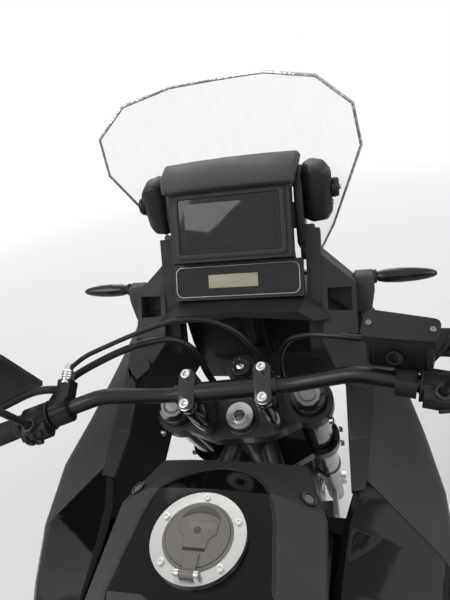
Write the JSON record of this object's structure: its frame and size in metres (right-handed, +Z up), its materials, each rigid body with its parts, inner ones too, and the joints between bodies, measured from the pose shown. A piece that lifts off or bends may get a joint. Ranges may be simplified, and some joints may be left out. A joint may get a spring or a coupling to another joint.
{
  "type": "adventure motorcycle",
  "caption": "Adventure motorcycle with turning steering and wheels, centre stand, side stand and fuel lid, stored upright on its centre stand.",
  "frame": {"origin": "middle of the whole machine's box, on the floor", "axes": "+X forward along the machine, +Y to the rider's left, +Z up"},
  "size_m": [2.3327, 0.9078, 1.507],
  "materials": {
    "tyre": "matt",
    "rim": "satin",
    "disc_steel": "satin",
    "chain_steel": "satin",
    "black_metal": "gloss",
    "stem_metal": "satin",
    "slider_metal": "satin",
    "caliper_paint": "satin",
    "black_plastic": "matt",
    "grip_rubber": "matt",
    "frame_paint": "satin",
    "arm_metal": "satin",
    "shock_paint": "satin",
    "engine_paint": "satin",
    "radiator_metal": "satin",
    "exhaust_steel": "satin",
    "skid_metal": "satin",
    "tank_paint": "satin",
    "body_plastic": "fine grain",
    "cap_metal": "brushed",
    "lid_paint": "satin",
    "screen_clear": "clear",
    "display_dark": "dark gloss",
    "seat_cover": "matt",
    "lamp_clear": "gloss",
    "stand_paint": "satin",
    "clamp_paint": "gloss"
  },
  "bodies": {
    "frame": {"main_frame": "frame_paint", "subframe": "frame_paint", "swingarm": "arm_metal", "rear_axles": "stem_metal", "chain": "chain_steel", "rear_shock": "shock_paint", "rear_caliper": "caliper_paint", "engine": "engine_paint", "radiators": "radiator_metal", "exhaust": "exhaust_steel", "skid_plate": "skid_metal", "fuel_tank": "tank_paint", "tank_cover": "body_plastic", "cap_ring": "cap_metal", "side_cowls": "body_plastic", "nose_cowl": "body_plastic", "windscreen": "screen_clear", "display_glass": "display_dark", "dash_panels": "black_plastic", "cockpit_brackets": "stand_paint", "lamps": "lamp_clear", "seat_front": "seat_cover", "seat_rear": "seat_cover", "tail_cowl": "body_plastic", "rear_carrier": "stand_paint", "footrests": "arm_metal"},
    "steering": {"fork_clamps": "black_metal", "steering_stem": "stem_metal", "fork_outer_tubes": "black_metal", "fork_sliders": "slider_metal", "front_axle": "stem_metal", "front_calipers": "caliper_paint", "front_fender": "body_plastic", "handlebar": "black_metal", "grips": "grip_rubber", "bar_clamps": "clamp_paint", "hand_controls": "black_plastic", "hand_guards": "black_plastic", "mirrors": "black_plastic", "ignition_switch": "black_plastic", "cables": "grip_rubber"},
    "front_wheel": {"front_tyre": "tyre", "front_rim": "rim", "front_discs": "disc_steel"},
    "rear_wheel": {"rear_tyre": "tyre", "rear_rim": "rim", "rear_disc": "disc_steel", "rear_sprocket": "disc_steel"},
    "centre_stand": {"centre_stand": "stand_paint"},
    "side_stand": {"side_stand": "stand_paint"},
    "fuel_lid": {"fuel_lid": "lid_paint"}
  },
  "joints": [
    {"name": "steer", "type": "hinge", "parent": "frame", "child": "steering", "pos_m": [0.933, 0, 0], "axis": [-0.4617, 0, 0.887], "range_deg": [-45.5, 34.5]},
    {"name": "front_wheel_spin", "type": "hinge", "parent": "steering", "child": "front_wheel", "pos_m": [0.81976, 0.00575, 0.34687], "axis": [-0.085, 0.9954, -0.0443], "continuous": true},
    {"name": "rear_wheel_spin", "type": "hinge", "parent": "frame", "child": "rear_wheel", "pos_m": [-0.755, 0, 0.349], "axis": [0, 1, 0], "continuous": true},
    {"name": "centre_stand_fold", "type": "hinge", "parent": "frame", "child": "centre_stand", "pos_m": [-0.128, 0, 0.292], "axis": [0, 1, 0], "range_deg": [0, 80]},
    {"name": "side_stand_swing", "type": "hinge", "parent": "frame", "child": "side_stand", "pos_m": [0.018, 0.152, 0.252], "axis": [0, -1, 0], "range_deg": [0, 100], "stiffness_Nm_per_rad": 2, "springref_deg": -85.94},
    {"name": "fuel_lid_hinge", "type": "hinge", "parent": "frame", "child": "fuel_lid", "pos_m": [0.113, 0, 1.111], "axis": [0, -1, 0], "range_deg": [0, 100]}
  ]
}
